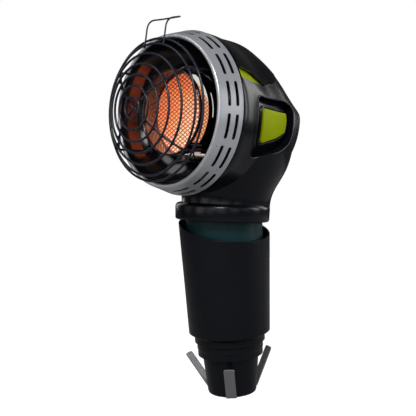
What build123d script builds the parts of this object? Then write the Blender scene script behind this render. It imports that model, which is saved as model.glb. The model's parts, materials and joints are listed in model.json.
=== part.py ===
from build123d import *
from math import asin, atan2, cos, hypot, pi, radians, sin, sqrt, tan
import os

# A portable propane heater that stands in a cup holder.  Millimetres, +Z up.
# The origin is the centre of the flat underside of the cup, and the heater faces -Y.

# ---- Clearances and gaps ----
SEAT_GAP = 0.3            # loose seat between a piece and the piece that carries it
RUN_FIT = 0.05            # radial gap of a turning or sliding fit
SCREW_GAP = 0.2           # radial gap round a screw shank
TOUCH = 0.05              # faces that rest on each other

# ---- Gas cylinder ----
CYLINDER_RADIUS = 49.2
CYLINDER_WALL = 0.9
CYLINDER_STRAIGHT = 136.0  # length of the straight side
CYLINDER_BASE_ROUND = 17.0
CYLINDER_TOP_ROUND = 27.0
FOOT_HEIGHT = 12.0
FOOT_WALL = 2.2
FOOT_INSET = 0.6
NECK_RADIUS = 12.7        # 1 inch thread
NECK_HEIGHT = 19.0
NECK_BORE = 5.0
NECK_COLLAR_RADIUS = 18.0
RELIEF_RADIUS = 4.0
RELIEF_OFFSET = 27.0
VALVE_CORE_RADIUS = 3.2

# ---- Cup adapter ----
CUP_FOOT_RADIUS = 32.0
CUP_FOOT_ROUND = 3.0
CUP_TOP_RADIUS = 36.6
CUP_HEIGHT = 50.0
CUP_WALL = 2.6
CUP_FLOOR = 4.0
STEP_HEIGHT = 9.0         # height of each of the three steps above the cup
STEP_RADII = (42.5, 43.2, 46.0)
STEP_SLOPE = 1.5          # height of the slope below each step
SLEEVE_FOOT_RADIUS = 53.0
SLEEVE_FOOT_CHAMFER = 5.0
SLEEVE_RIM_RADIUS = 58.5
SLEEVE_HEIGHT = 135.4     # from the sleeve's foot to the middle of its rim
RIM_SLOPE = 12.8          # degrees, the rim is lower toward +X
RIM_SPARE = 30.0          # height above the rim that the slanted cut takes off
RIM_CLEAR = 1.5           # rim kept this far below the collar

# ---- Spring strips under the cup ----
STRIP_WIDTH = 13.4
STRIP_THICKNESS = 1.6
STRIP_LENGTH = 54.3
STRIP_CORNER = 3.0
STRIP_ROOT_RADIUS = 32.6
STRIP_ROOT_HEIGHT = 2.2
STRIP_ANGLES = {"front": -48.0, "right": 72.0, "left": 192.0}
STRIP_LEANS = {"front": 33.0, "right": 27.5, "left": 40.0}
HUB_RADIUS = 20.0
HUB_THICKNESS = 1.6
HUB_SCREW_RADIUS = 2.0
HUB_SCREW_HEAD = 4.5

# ---- Housing frame: the whole heater leans back on its collar ----
LEAN_BACK = 7.0           # degrees
COLLAR_CENTRE = (0.0, -3.4, 227.6)
COLLAR_RADIUS = 60.3
COLLAR_HEIGHT = 22.0
COLLAR_FLARE = 0.5
COLLAR_ROUND = 2.5        # rounding of its lower edge
COLLAR_SHOULDER = 6.0     # rounding of its upper edge
HOUSING_WALL = 2.6

# ---- Round head, measured from the lip plane of the bezel ----
LIP_FORWARD = 104.0       # lip plane ahead of the collar's axis
HEAD_HEIGHT = 131.3       # head axis above the collar's lower edge
LIP_INNER_RADIUS = 87.75
LIP_OUTER_RADIUS = 92.0
LIP_DEPTH = 2.0           # depth of the rolled lip
BEZEL_REAR_RADIUS = 100.6
BEZEL_DEPTH = 30.5
BEZEL_SHEET = 1.2
SLOT_COUNT = 16
SLOT_LENGTH = 29.5
SLOT_WIDTH = 3.1
SLOT_ROWS = (12.9, 23.1)  # depth of each row behind the lip plane

# ---- Housing shell ----
HOUSING_FRONT = 32.5      # front edge of the housing behind the lip plane
HOUSING_FRONT_RADIUS = 99.5
HOUSING_SIDE_RADIUS = 88.5  # half width of the head over the collar's axis
HOUSING_TOP_RADIUS = 97.0
HOUSING_BOTTOM_RADIUS = 97.0
SIDE_REAR = 101.7         # where the sides would close behind the collar's axis
TOP_REAR = 76.0
BOTTOM_REAR = 100.0
ROOF_POWER = 1.4          # superellipse power of the upper section: 2 is round, 1 a ridge
PANEL_REAR = 66.0         # flat control panel
# height, radius and rearward offset of the neck's sections
NECK_SECTIONS = ((4.0, 56.7, 5.0), (16.5, 57.2, 5.0), (31.0, 58.2, 6.0), (52.0, 68.1, 5.5),
                 (74.0, 80.0, 3.0), (100.0, 88.0, 0.0), (126.0, 86.0, 0.0))
POCKET_OUTLINE = ((-40, 152), (21, 150), (33, 144), (34, 117), (27, 100), (10, 90), (-16, 83),
                  (-38, 79), (-43, 108))
INLAY_OUTLINE = ((-23, 139), (24, 136), (26, 128), (25, 113), (8, 105), (-21, 97), (-23, 118))
ACCENT_OUTLINE = ((-69, 169.5), (-12, 166.5), (-4, 172), (0, 240), (-69, 240))
COVER_OUTLINE = ((-69, 183), (-41, 179.5), (-9, 167.5), (14, 172), (38, 190), (46, 240), (-69, 240))
SPIGOT_LENGTH = 6.0        # ring of the housing that goes into the bezel
POCKET_DEPTH = 8.0
INLAY_THICKNESS = 3.0
COVER_PROUD = 0.8         # cover's outer surface above the head's
COVER_THICKNESS = 3.6
ACCENT_THICKNESS = 2.4

# ---- Reflector and burner ----
BOWL_SHEET = 0.8
BOWL_DEPTH = 42.0
BOWL_MIDDLE = (79.0, 26.0)
BURNER_RADIUS = 52.0
BURNER_FRONT = 10.0
BURNER_BACK = 58.0
BURNER_SHEET = 1.0
BURNER_FLANGE = 6.0
TILE_FRONT = 31.0
TILE_THICKNESS = 13.0
RIM_WIRE = 1.2
MESH_WIRE = 0.7
MESH_PITCH = 4.4
MESH_ANGLE = 32.0
PILOT_RADIUS = 61.0
PILOT_ANGLE = 155.0       # from straight up, toward +X
PILOT_STEP = 8.0
PILOT_BURNER_RADIUS = 2.6
PILOT_TUBE_RADIUS = 1.5
PILOT_FRONT = 9.0
ELECTRODE_RADIUS = 2.0
PROBE_RADIUS = 1.6
BRACKET_SHEET = 1.2
SHIELD_RADIUS = 80.0
SHIELD_SHEET = 0.8

# ---- Wire guard ----
GUARD_WIRE = 1.45
GUARD_SPHERE = 120.0
GUARD_FRONT = 51.5
GUARD_RING_RADII = (12.5, 25.8, 39.0, 52.0, 65.0, 77.5, 84.0)
RIB_ANGLE = 51.0
RIB_BACK = 33.0
HOOK_WIRE = 1.0
HOOK_HALF_WIDTH = 16.8
HOOK_HEIGHT = 106.5
HOOK_BACK_HEIGHT = 112.0
HOOK_BACK = 6.0
HOOK_BEND = 12.0

# ---- Gas train ----
PLATE_HEIGHT = 80.0
PLATE_SHEET = 2.0
PLATE_DEPTH = 52.0
PLATE_WIDTH = 126.0
PLATE_BORE = 6.0
LEDGE_REACH = 49.0         # inner end of the ledges that carry the plate
LEDGE_SCREW = 57.0
INLET_RADIUS = 17.0
INLET_DEPTH = 13.0
FLANGE_RADIUS = 29.0
FLANGE_THICKNESS = 5.0
REGULATOR_RADIUS = 21.0
REGULATOR_HEIGHT = 14.0
TRAIN_FORWARD = 5.0       # gas train axis ahead of the collar's axis
VALVE_SIZE = (28.0, 30.0, 26.0)
JET_RADIUS = 4.0
JET_LENGTH = 9.0
MIXER_RADIUS = 8.0
MIXER_WALL = 1.0
MIXER_MOUTH = 11.0
SWITCH_SIZE = (18.0, 18.0, 20.0)
SWITCH_OFFSET = 40.0

# ---- Controls on the rear panel ----
KNOB_RADIUS = 17.0
KNOB_LENGTH = 16.0
KNOB_TRAVEL = 4.0
STEM_RADIUS = 3.0
STEM_SEAT = 8.0           # depth of the stem in the valve body
BUTTON_RADIUS = 6.5
BUTTON_LENGTH = 11.0
BUTTON_TRAVEL = 6.0
BUTTON_HEIGHT = 152.0
PIEZO_RADIUS = 8.5
PIEZO_LENGTH = 30.0
SPRING_WIRE = 0.5
SPRING_TURNS = 3
SPRING_RADIUS = 4.0

# ---- Fasteners ----
SCREW_RADIUS = 1.5
SCREW_HEAD_RADIUS = 2.9
SCREW_HEAD_HEIGHT = 2.0
BOSS_RADIUS = 4.2
SCREW_REACH = 14.0        # a housing screw reaches this far to each side of the parting plane
BOSS_PLACES = ((42.0, 46.0), (50.0, 176.0), (-22.0, 206.0), (-46.0, 40.0))

HOUSING = Pos(*COLLAR_CENTRE) * Rot(-LEAN_BACK, 0, 0)
HEAD = HOUSING * Pos(0, -LIP_FORWARD, HEAD_HEIGHT) * Rot(90, 0, 0)
HUGE = 400.0


def save(node, *shapes):
    """Write the solids of one sub-part to its own STEP file."""
    solids = [solid for shape in shapes for solid in shape.solids()]
    export_step(Compound(children=solids), f"parts/{node}.step")


def turned(*points):
    """Solid of revolution about Z from an outline of (radius, height) points."""
    outline = Plane.XZ * Polyline(*points, close=True)
    return revolve(make_face(outline), Axis.Z)


def ring(outer, inner, low, high):
    """Plain ring about Z."""
    return turned((inner, low), (outer, low), (outer, high), (inner, high))


def rod(radius, low, high):
    """Round bar along Z."""
    return Pos(0, 0, low) * extrude(Circle(radius), high - low)


def bent_wire(points, radii, radius):
    """Round wire along straight runs joined by arcs."""
    path = FilletPolyline(*points, radius=radii)
    return sweep(Plane(path @ 0, z_dir=path % 0) * Circle(radius), path)


def polar(radius, angle):
    """Point at an angle from straight up, toward +X."""
    return radius * sin(radians(angle)), radius * cos(radians(angle))


# ---------------------------------------------------------------- cup adapter
sleeve_foot = CUP_HEIGHT + 3 * STEP_HEIGHT + SLEEVE_FOOT_CHAMFER
shelf = sleeve_foot + CUP_WALL
sleeve_slope = (SLEEVE_RIM_RADIUS - SLEEVE_FOOT_RADIUS) / SLEEVE_HEIGHT


def sleeve_radius(height):
    """Outer radius of the sleeve at a height."""
    return SLEEVE_FOOT_RADIUS + sleeve_slope * (height - sleeve_foot)


def adapter_outline(wall):
    """Stepped outline of the adapter, from the foot up, inset by a wall."""
    points = [(CUP_TOP_RADIUS - wall, CUP_HEIGHT)]
    for index, radius in enumerate(STEP_RADII):
        low = CUP_HEIGHT + index * STEP_HEIGHT
        points += [(radius - wall, low + STEP_SLOPE), (radius - wall, low + STEP_HEIGHT)]
    return points


def make_adapter():
    """Cup and sleeve in one moulding, open at its slanted rim."""
    top = sleeve_foot + SLEEVE_HEIGHT + RIM_SPARE
    outer = [(0, 0), (CUP_FOOT_RADIUS - CUP_FOOT_ROUND, 0)]
    outer += [(CUP_FOOT_RADIUS - CUP_FOOT_ROUND * 0.3, CUP_FOOT_ROUND * 0.3)]
    outer += [(CUP_FOOT_RADIUS, CUP_FOOT_ROUND)] + adapter_outline(0)
    outer += [(SLEEVE_FOOT_RADIUS, sleeve_foot), (sleeve_radius(top), top), (0, top)]
    inner = [(0, CUP_FLOOR), (CUP_FOOT_RADIUS - CUP_WALL, CUP_FLOOR)]
    inner += [(r, z + (CUP_WALL if z > CUP_HEIGHT else 0)) for r, z in adapter_outline(CUP_WALL)[:-1]]
    inner += [(STEP_RADII[-1] - CUP_WALL, shelf), (sleeve_radius(shelf) - CUP_WALL, shelf)]
    inner += [(sleeve_radius(top) - CUP_WALL, top + 1), (0, top + 1)]
    body = turned(*outer) - turned(*inner)
    rim_middle = sleeve_foot + SLEEVE_HEIGHT
    above_rim = Pos(0, 0, rim_middle) * Rot(0, RIM_SLOPE, 0) * Pos(0, 0, HUGE / 2) * Box(HUGE, HUGE, HUGE)
    below_collar = HOUSING * Pos(0, 0, HUGE / 2 - RIM_CLEAR) * Box(HUGE, HUGE, HUGE)
    body = body - above_rim - below_collar
    body = body - rod(HUB_RADIUS + SEAT_GAP, -1, HUB_THICKNESS + SEAT_GAP)
    for angle in STRIP_ANGLES.values():
        channel = Box(CUP_FOOT_RADIUS + 5, STRIP_WIDTH + 2 * SEAT_GAP, 2 * (STRIP_ROOT_HEIGHT + 1.6))
        body = body - Rot(0, 0, angle) * Pos((CUP_FOOT_RADIUS + 5) / 2, 0, 0) * channel
    body = body + (rod(HUB_RADIUS - 6, HUB_THICKNESS + SEAT_GAP, CUP_FLOOR + 2)
                   - rod(HUB_SCREW_RADIUS, 0, CUP_FLOOR + 1))
    return body - rod(HUB_SCREW_RADIUS + RUN_FIT, -1, CUP_FLOOR + 1.2)


save("adapter_sleeve", make_adapter())


# ---------------------------------------------------------------- spring strips
def make_strip(angle, lean):
    """One flat strip with a rounded tip, leaning out from the foot of the cup."""
    face = Pos(0, STRIP_LENGTH / 2) * Rectangle(STRIP_WIDTH, STRIP_LENGTH)
    face = fillet(face.vertices().sort_by(Axis.Y)[-2:], STRIP_CORNER)
    blade = extrude(Plane.YZ * face, STRIP_THICKNESS)
    return Rot(0, 0, angle) * Pos(STRIP_ROOT_RADIUS, 0, STRIP_ROOT_HEIGHT) * Rot(0, lean, 0) * blade


def make_hub():
    """Flat plate under the cup, with an arm to the root of each strip."""
    plate = rod(HUB_RADIUS, 0, HUB_THICKNESS)
    arm_end = STRIP_ROOT_RADIUS - SEAT_GAP
    for angle in STRIP_ANGLES.values():
        plate = plate + Rot(0, 0, angle) * Pos(arm_end / 2, 0, HUB_THICKNESS / 2) * Box(
            arm_end, STRIP_WIDTH, HUB_THICKNESS)
    above = HUB_THICKNESS + 0.1
    countersink = turned((0, -0.1), (HUB_SCREW_HEAD + SCREW_GAP, -0.1),
                         (HUB_SCREW_RADIUS + SCREW_GAP, above), (0, above))
    return plate - countersink


save("spring_hub", make_hub())
save("hub_screw", turned((0, 0.1), (HUB_SCREW_HEAD - 0.1, 0.1), (HUB_SCREW_RADIUS, HUB_THICKNESS),
                         (HUB_SCREW_RADIUS, CUP_FLOOR + 1), (0, CUP_FLOOR + 1)))
for side, angle in STRIP_ANGLES.items():
    save(f"spring_strip_{side}", make_strip(angle, STRIP_LEANS[side]))

# ---------------------------------------------------------------- gas cylinder
cylinder_low = shelf + FOOT_HEIGHT - 3
straight_low = cylinder_low + CYLINDER_BASE_ROUND
straight_high = straight_low + CYLINDER_STRAIGHT
shell_top = straight_high + CYLINDER_TOP_ROUND


def cylinder_face(inset):
    """Half section of the pressed shell: flat bottom, rounded edges, domed top."""
    radius = CYLINDER_RADIUS - inset
    low = cylinder_low + inset
    top = shell_top - inset
    corner = CYLINDER_BASE_ROUND - inset
    outline = Polyline((0, top), (0, low), (radius - corner, low))
    outline += RadiusArc((radius - corner, low), (radius, straight_low), -corner)
    outline += Line((radius, straight_low), (radius, straight_high))
    rise = top - straight_high
    outline += EllipticalCenterArc((0, straight_high), radius, rise, start_angle=0, arc_size=90)
    return make_face(Plane.XZ * outline)


def dome_height(radius):
    """Height of the shell's domed top at a radius."""
    return straight_high + CYLINDER_TOP_ROUND * sqrt(1 - (radius / CYLINDER_RADIUS) ** 2)


neck_low = dome_height(NECK_COLLAR_RADIUS) + TOUCH
neck_top = shell_top + NECK_HEIGHT
shell = revolve(cylinder_face(0), Axis.Z) - revolve(cylinder_face(CYLINDER_WALL), Axis.Z)
shell = shell - rod(NECK_BORE + 3, shell_top - 6, shell_top + 1)
foot_radius = CYLINDER_RADIUS - FOOT_INSET
save("cylinder_shell", shell)
save("cylinder_foot", ring(foot_radius, foot_radius - FOOT_WALL, shelf, shelf + FOOT_HEIGHT * 0.72)
     + ring(foot_radius - 0.6, foot_radius - 14, shelf + 4, cylinder_low - TOUCH))
neck = turned((NECK_BORE, shell_top + TOUCH), (NECK_COLLAR_RADIUS, shell_top + TOUCH),
              (NECK_COLLAR_RADIUS, shell_top + 3), (NECK_RADIUS, shell_top + 5),
              (NECK_RADIUS, neck_top - 1), (NECK_RADIUS - 1, neck_top), (NECK_BORE, neck_top))
save("cylinder_neck", neck)
save("valve_core", rod(NECK_BORE - RUN_FIT, shell_top + 1, neck_top - 4)
     + rod(VALVE_CORE_RADIUS, neck_top - 4, neck_top - 1.5))
relief_low = dome_height(RELIEF_OFFSET - RELIEF_RADIUS) + 0.1
save("relief_valve", Pos(RELIEF_OFFSET, 0, 0) * (rod(RELIEF_RADIUS, relief_low, relief_low + 4)
                                                 + rod(RELIEF_RADIUS * 0.6, relief_low + 4, relief_low + 7)))

# ---------------------------------------------------------------- wire guard
rib_radius = GUARD_RING_RADII[-2] - 2 * GUARD_WIRE - RUN_FIT


def guard_depth(radius):
    """Distance ahead of the lip plane of a ring on the guard's dome."""
    return GUARD_FRONT - GUARD_SPHERE + sqrt(GUARD_SPHERE ** 2 - radius ** 2)


def make_rib(side):
    """One bent wire: back wall, upper rib, round the centre, lower rib, back wall."""
    behind = 2 * GUARD_WIRE + RUN_FIT
    stations = [(rib_radius, -RIB_BACK)]
    for share in (1, 0.68, 0.34):
        stations.append((rib_radius * share, guard_depth(rib_radius * share) - behind))
    upper = [(side * radius * sin(radians(RIB_ANGLE)), radius * cos(radians(RIB_ANGLE)), depth)
             for radius, depth in stations]
    lower = [(x, -u, depth) for x, u, depth in reversed(upper)]
    centre = (0, 0, guard_depth(0) - behind)
    return bent_wire(upper + [centre] + lower, [7, 50, 50, 7.5, 50, 50, 7], GUARD_WIRE)


def make_hook():
    """Wire hook: two legs held between the outer rings, bent back over the bezel, and a cross bar."""
    low_up, high_up = [sqrt(radius ** 2 - HOOK_HALF_WIDTH ** 2) for radius in GUARD_RING_RADII[-2:]]
    low_depth, high_depth = [guard_depth(radius) for radius in GUARD_RING_RADII[-2:]]
    reach = GUARD_WIRE + HOOK_WIRE + 2 * RUN_FIT
    apart = hypot(high_up - low_up, low_depth - high_depth)
    lean = atan2(low_depth - high_depth, high_up - low_up) - asin(2 * reach / apart)
    crossing = high_depth + reach / cos(lean)
    leg = [(up, crossing - (up - high_up) * tan(lean)) for up in (low_up - 2, HOOK_HEIGHT)]
    side = leg + [(HOOK_BACK_HEIGHT, -HOOK_BACK)]
    points = [(-HOOK_HALF_WIDTH, up, depth) for up, depth in side]
    points += [(HOOK_HALF_WIDTH, up, depth) for up, depth in reversed(side)]
    return bent_wire(points, [HOOK_BEND, 5, 5, HOOK_BEND], HOOK_WIRE)


rings = [Pos(0, 0, guard_depth(radius)) * Torus(radius, GUARD_WIRE) for radius in GUARD_RING_RADII]
save("guard_rings", *[HEAD * wire for wire in rings])
save("guard_ribs", HEAD * make_rib(1), HEAD * make_rib(-1))
save("guard_hook", HEAD * make_hook())

# ---------------------------------------------------------------- bezel
rear_slope = (BEZEL_REAR_RADIUS - LIP_OUTER_RADIUS) / BEZEL_DEPTH
bezel = turned(
    (LIP_INNER_RADIUS, -6), (LIP_INNER_RADIUS, -1.5), (LIP_INNER_RADIUS + 0.6, 0),
    (LIP_OUTER_RADIUS - 1.2, 0.4), (LIP_OUTER_RADIUS, -0.8),
    (BEZEL_REAR_RADIUS, -BEZEL_DEPTH), (BEZEL_REAR_RADIUS - BEZEL_SHEET, -BEZEL_DEPTH),
    (LIP_OUTER_RADIUS - BEZEL_SHEET, -LIP_DEPTH), (LIP_INNER_RADIUS + BEZEL_SHEET, -LIP_DEPTH),
    (LIP_INNER_RADIUS + BEZEL_SHEET, -6))
slot_angle = (SLOT_LENGTH - SLOT_WIDTH) / BEZEL_REAR_RADIUS * 180 / pi
slots = []
for depth in SLOT_ROWS:
    middle = LIP_OUTER_RADIUS + rear_slope * depth
    cutter = Plane.XZ * Pos(middle, -depth) * Rectangle(8, SLOT_WIDTH)
    for index in range(SLOT_COUNT):
        turn = 90 + (index + 0.5) * 360 / SLOT_COUNT - slot_angle / 2
        slots.append(Rot(0, 0, turn) * revolve(cutter, Axis.Z, slot_angle))
        for end in (turn, turn + slot_angle):
            round_end = Pos(middle - 4, 0, -depth) * Rot(0, 90, 0) * rod(SLOT_WIDTH / 2, 0, 8)
            slots.append(Rot(0, 0, end) * round_end)
save("bezel", HEAD * (bezel - slots))

# ---------------------------------------------------------------- reflector and burner
train_height = PLATE_HEIGHT + PLATE_SHEET + REGULATOR_HEIGHT + VALVE_SIZE[2] / 2


def mixer_hole(radius):
    """Bore along the head axis where the mixing tube passes."""
    tile_rear = -TILE_FRONT - TILE_THICKNESS
    return Pos(0, train_height - HEAD_HEIGHT, 0) * rod(radius, -LIP_FORWARD, tile_rear - 6)


def pilot_place(step):
    """Place beside the burner of the pilot (0) or a piece one step to either side of it."""
    return Pos(*polar(PILOT_RADIUS, PILOT_ANGLE + step * PILOT_STEP), 0)


def pilot_hole(step, radius):
    """Bore along the head axis at a piece of the pilot group."""
    return pilot_place(step) * rod(radius, -LIP_FORWARD, 0)


bowl_outer = LIP_INNER_RADIUS + BEZEL_SHEET - 1.6


def bowl_face(inset):
    """Half section of the bowl between its front edge and the burner."""
    middle, depth = BOWL_MIDDLE
    start = (bowl_outer - inset, -LIP_DEPTH)
    end = (BURNER_RADIUS + 1.4, -BOWL_DEPTH + inset)
    curve = ThreePointArc(start, (middle - 0.7 * inset, -depth + 0.7 * inset), end)
    return curve, start, end


outer_curve, outer_start, outer_end = bowl_face(0)
inner_curve, inner_start, inner_end = bowl_face(BOWL_SHEET)
bowl_section = outer_curve + Line(outer_end, inner_end) + inner_curve + Line(inner_start, outer_start)
bowl = revolve(make_face(Plane.XZ * bowl_section), Axis.Z)
for angle in (RIB_ANGLE, 180 - RIB_ANGLE, 180 + RIB_ANGLE, -RIB_ANGLE):
    x, up = polar(rib_radius, angle)
    bowl = bowl - Pos(x, up, 0) * rod(GUARD_WIRE + SCREW_GAP, -BOWL_DEPTH - 5, 0)
for step in (-1, 0, 1):
    bowl = bowl - pilot_hole(step, PILOT_BURNER_RADIUS + SCREW_GAP)
bowl = bowl - Rot(0, 0, -PILOT_ANGLE) * Pos(0, BURNER_RADIUS + 2, -BOWL_DEPTH) * Box(14, 6, 12)
save("reflector_bowl", HEAD * bowl)

flange_front = -BOWL_DEPTH - SEAT_GAP
burner_inner = BURNER_RADIUS - BURNER_SHEET
burner_shell = ring(BURNER_RADIUS, burner_inner, -BURNER_BACK, -BURNER_FRONT)
flange_radius = BURNER_RADIUS + BURNER_FLANGE
burner_shell = burner_shell + ring(flange_radius, burner_inner, flange_front - BURNER_SHEET, flange_front)
burner_shell = burner_shell + rod(burner_inner + 0.5, -BURNER_BACK, -BURNER_BACK + BURNER_SHEET)
burner_shell = burner_shell - mixer_hole(MIXER_RADIUS + RUN_FIT)
save("burner_housing", HEAD * burner_shell)
rim = Pos(0, 0, -BURNER_FRONT + RIM_WIRE + RUN_FIT) * Torus(BURNER_RADIUS - BURNER_SHEET / 2, RIM_WIRE)
save("burner_rim", HEAD * rim)
tile_radius = burner_inner - SEAT_GAP
tile_back = -TILE_FRONT - TILE_THICKNESS
save("ceramic_tile", HEAD * rod(tile_radius, tile_back, -TILE_FRONT))
save("tile_gasket", HEAD * ring(tile_radius, tile_radius - 6, tile_back - 2, tile_back))
save("burner_baffle", HEAD * (ring(tile_radius, tile_radius - 5, -BURNER_BACK + BURNER_SHEET, tile_back - 2)
                              + ring(tile_radius - 4, MIXER_RADIUS, tile_back - 4, tile_back - 3)))


def make_mesh():
    """Two layers of straight wires that cross at an angle, held in a thin ring."""
    low = -TILE_FRONT
    reach = tile_radius - 2.0
    wires = [ring(tile_radius, reach, low, low + 2 * MESH_WIRE)]
    count = int((reach - 2 * MESH_WIRE) / MESH_PITCH)
    for layer, angle in enumerate((MESH_ANGLE, -MESH_ANGLE)):
        height = low + MESH_WIRE * (layer + 0.5)
        for index in range(-count, count + 1):
            offset = index * MESH_PITCH
            length = 2 * sqrt(reach ** 2 - (abs(offset) + MESH_WIRE / 2) ** 2) - RUN_FIT
            wires.append(Rot(0, 0, angle) * Pos(0, offset, height) * Box(length, MESH_WIRE, MESH_WIRE))
    return wires


save("burner_mesh", *[HEAD * wire for wire in make_mesh()])
shield_front = -BURNER_BACK
shield = rod(SHIELD_RADIUS, shield_front - SHIELD_SHEET, shield_front) - mixer_hole(MIXER_RADIUS + RUN_FIT)
shield = shield - pilot_hole(0, PILOT_TUBE_RADIUS + 1)
save("heat_shield", HEAD * shield)

# ---------------------------------------------------------------- housing


def head_radius(middle, rear, depth):
    """Radius of the head in one direction, from the seam to the rounded rear."""
    if depth < 0:
        growth = (HOUSING_FRONT_RADIUS - middle) / (LIP_FORWARD - HOUSING_FRONT)
        return middle - growth * depth
    return middle * sqrt(1 - (depth / rear) ** 2)


def head_section(depth, place, inset):
    """Section across the head: round below, drawn toward a ridge above."""
    side = head_radius(HOUSING_SIDE_RADIUS, SIDE_REAR, depth) - inset
    top = head_radius(HOUSING_TOP_RADIUS, TOP_REAR, depth) - inset
    bottom = head_radius(HOUSING_BOTTOM_RADIUS, BOTTOM_REAR, depth) - inset
    share = min(1, 1 + depth / (LIP_FORWARD - HOUSING_FRONT))
    power = 2 / (2 + (ROOF_POWER - 2) * share ** 2 * (3 - 2 * share))
    turns = [radians(180 * step / 8) for step in range(9)]
    points = [(side * abs(cos(turn)) ** power * (1 if turn < pi / 2 else -1), top * sin(turn) ** power)
              for turn in turns[:-1]]
    upper = Spline(*points, (-side, 0), tangents=[(0, 1), (0, -1)])
    lower = EllipticalCenterArc((0, 0), side, bottom, start_angle=180, arc_size=180)
    level = Plane((0, place, HEAD_HEIGHT), x_dir=(1, 0, 0), z_dir=(0, -1, 0))
    return make_face(level * (upper + lower))


def make_head(inset):
    """Solid head, from the seam behind the bezel to the flat rear panel."""
    front = HOUSING_FRONT - LIP_FORWARD
    depths = [front * share for share in (1, 0.75, 0.5, 0.25, 0)]
    depths += [PANEL_REAR * share for share in (0.35, 0.62, 0.84, 1)]
    squeeze = (PANEL_REAR - inset - front) / (PANEL_REAR - front) if inset > 0 else 1
    return loft([head_section(depth, front + (depth - front) * squeeze, inset) for depth in depths])


def make_neck(inset):
    """Solid neck, from inside the collar up into the head."""
    discs = [Pos(0, shift, height) * Circle(radius - inset) for height, radius, shift in NECK_SECTIONS]
    neck_body = loft(discs)
    front = HOUSING_FRONT - LIP_FORWARD
    depth = PANEL_REAR - inset - front
    return neck_body & Pos(0, front + depth / 2, 0) * Box(HUGE, depth, HUGE)


def make_collar():
    """Solid round collar with a wide shoulder; its front stands out as a ledge below the head."""
    low_round = COLLAR_ROUND * 0.3
    points = [(0, 0), (COLLAR_RADIUS - COLLAR_ROUND, 0), (COLLAR_RADIUS - low_round, low_round),
              (COLLAR_RADIUS, COLLAR_ROUND)]
    for turn in range(0, 91, 18):
        inward = COLLAR_SHOULDER * (1 - cos(radians(turn)))
        below = COLLAR_SHOULDER * (1 - sin(radians(turn)))
        points.append((COLLAR_RADIUS + COLLAR_FLARE - inward, COLLAR_HEIGHT - below))
    return turned(*points, (0, COLLAR_HEIGHT))


def side_prism(outline, corner, reach=HUGE):
    """Both-way extrusion along X of an outline of (depth, height) points."""
    face = Plane.YZ * make_face(Polyline(*outline, close=True))
    face = fillet(face.vertices(), corner)
    return extrude(face, reach, both=True)


front_edge = HOUSING_FRONT - LIP_FORWARD
outer_head = make_head(0)
outer_neck = make_neck(0)
outer = outer_head + outer_neck + make_collar()
cavity = make_head(HOUSING_WALL) + make_neck(HOUSING_WALL)
cavity = cavity + rod(COLLAR_RADIUS - HOUSING_WALL, -1, COLLAR_HEIGHT - COLLAR_SHOULDER + 1)
mouth_bore = rod(HOUSING_FRONT_RADIUS - HOUSING_WALL, -1, 1)
cavity = cavity + Pos(0, front_edge, HEAD_HEIGHT) * Rot(90, 0, 0) * mouth_bore


def grown(outline, margin):
    """Outline moved out from its middle by a margin."""
    middle_y = sum(y for y, z in outline) / len(outline)
    middle_z = sum(z for y, z in outline) / len(outline)
    moved = []
    for y, z in outline:
        reach = hypot(y - middle_y, z - middle_z)
        moved.append((y + (y - middle_y) * margin / reach, z + (z - middle_z) * margin / reach))
    return moved


def sink(outlines, corner, depth):
    """Recess in the head's surface, and the step of the wall behind it."""
    recess = Part()
    step = Part()
    for outline in outlines:
        recess = recess + side_prism(grown(outline, SEAT_GAP), corner)
        step = step + side_prism(grown(outline, HOUSING_WALL + 1), corner)
    return recess - make_head(depth), step - make_head(depth + HOUSING_WALL)


side_recess, side_step = sink([POCKET_OUTLINE], 7, POCKET_DEPTH)
top_depth = COVER_THICKNESS - COVER_PROUD + ACCENT_THICKNESS + SEAT_GAP
top_recess, top_step = sink([COVER_OUTLINE, ACCENT_OUTLINE], 3, top_depth)
body = outer - side_recess - top_recess
shell = body - (cavity - side_step - top_step)
bezel_slope = (BEZEL_REAR_RADIUS - LIP_OUTER_RADIUS) / (BEZEL_DEPTH - LIP_DEPTH)
bezel_reach = HOUSING_FRONT - SPIGOT_LENGTH - LIP_DEPTH
spigot_radius = LIP_OUTER_RADIUS - BEZEL_SHEET + bezel_slope * bezel_reach - SEAT_GAP
spigot = Pos(0, front_edge, HEAD_HEIGHT) * Rot(90, 0, 0) * ring(
    spigot_radius, spigot_radius - HOUSING_WALL, -2, SPIGOT_LENGTH)
shell = shell + spigot

# ledges that carry the gas train's plate
plate_low = PLATE_HEIGHT
for side in (-1, 1):
    ledge = Pos(side * (LEDGE_REACH + 20), -TRAIN_FORWARD, plate_low - 5) * Box(40, 16, 10)
    shell = shell + (ledge & body)
    shell = shell - Pos(side * LEDGE_SCREW, -TRAIN_FORWARD, plate_low) * rod(SCREW_RADIUS + RUN_FIT, -8, 1)

# bosses for the four screws that join the halves, with their heads in the left half
for depth, height in BOSS_PLACES:
    boss = Pos(0, depth, height) * Rot(0, 90, 0) * rod(BOSS_RADIUS, -HUGE / 2, HUGE / 2)
    shell = shell + (boss & body)
for depth, height in BOSS_PLACES:
    shank = Pos(0, depth, height) * Rot(0, -90, 0) * rod(SCREW_RADIUS + RUN_FIT, -SCREW_REACH, HUGE / 2)
    head_bore = rod(SCREW_HEAD_RADIUS + SCREW_GAP, SCREW_REACH, HUGE / 2)
    recess = Pos(0, depth, height) * Rot(0, -90, 0) * head_bore
    shell = shell - shank - recess

# holes in the rear panel
panel = Pos(0, PANEL_REAR, 0) * Rot(-90, 0, 0)
shell = shell - Pos(0, 0, train_height) * panel * rod(STEM_RADIUS + 0.5, -10, 10)
shell = shell - Pos(0, 0, BUTTON_HEIGHT) * panel * rod(PIEZO_RADIUS + SCREW_GAP, -10, 10)

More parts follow.
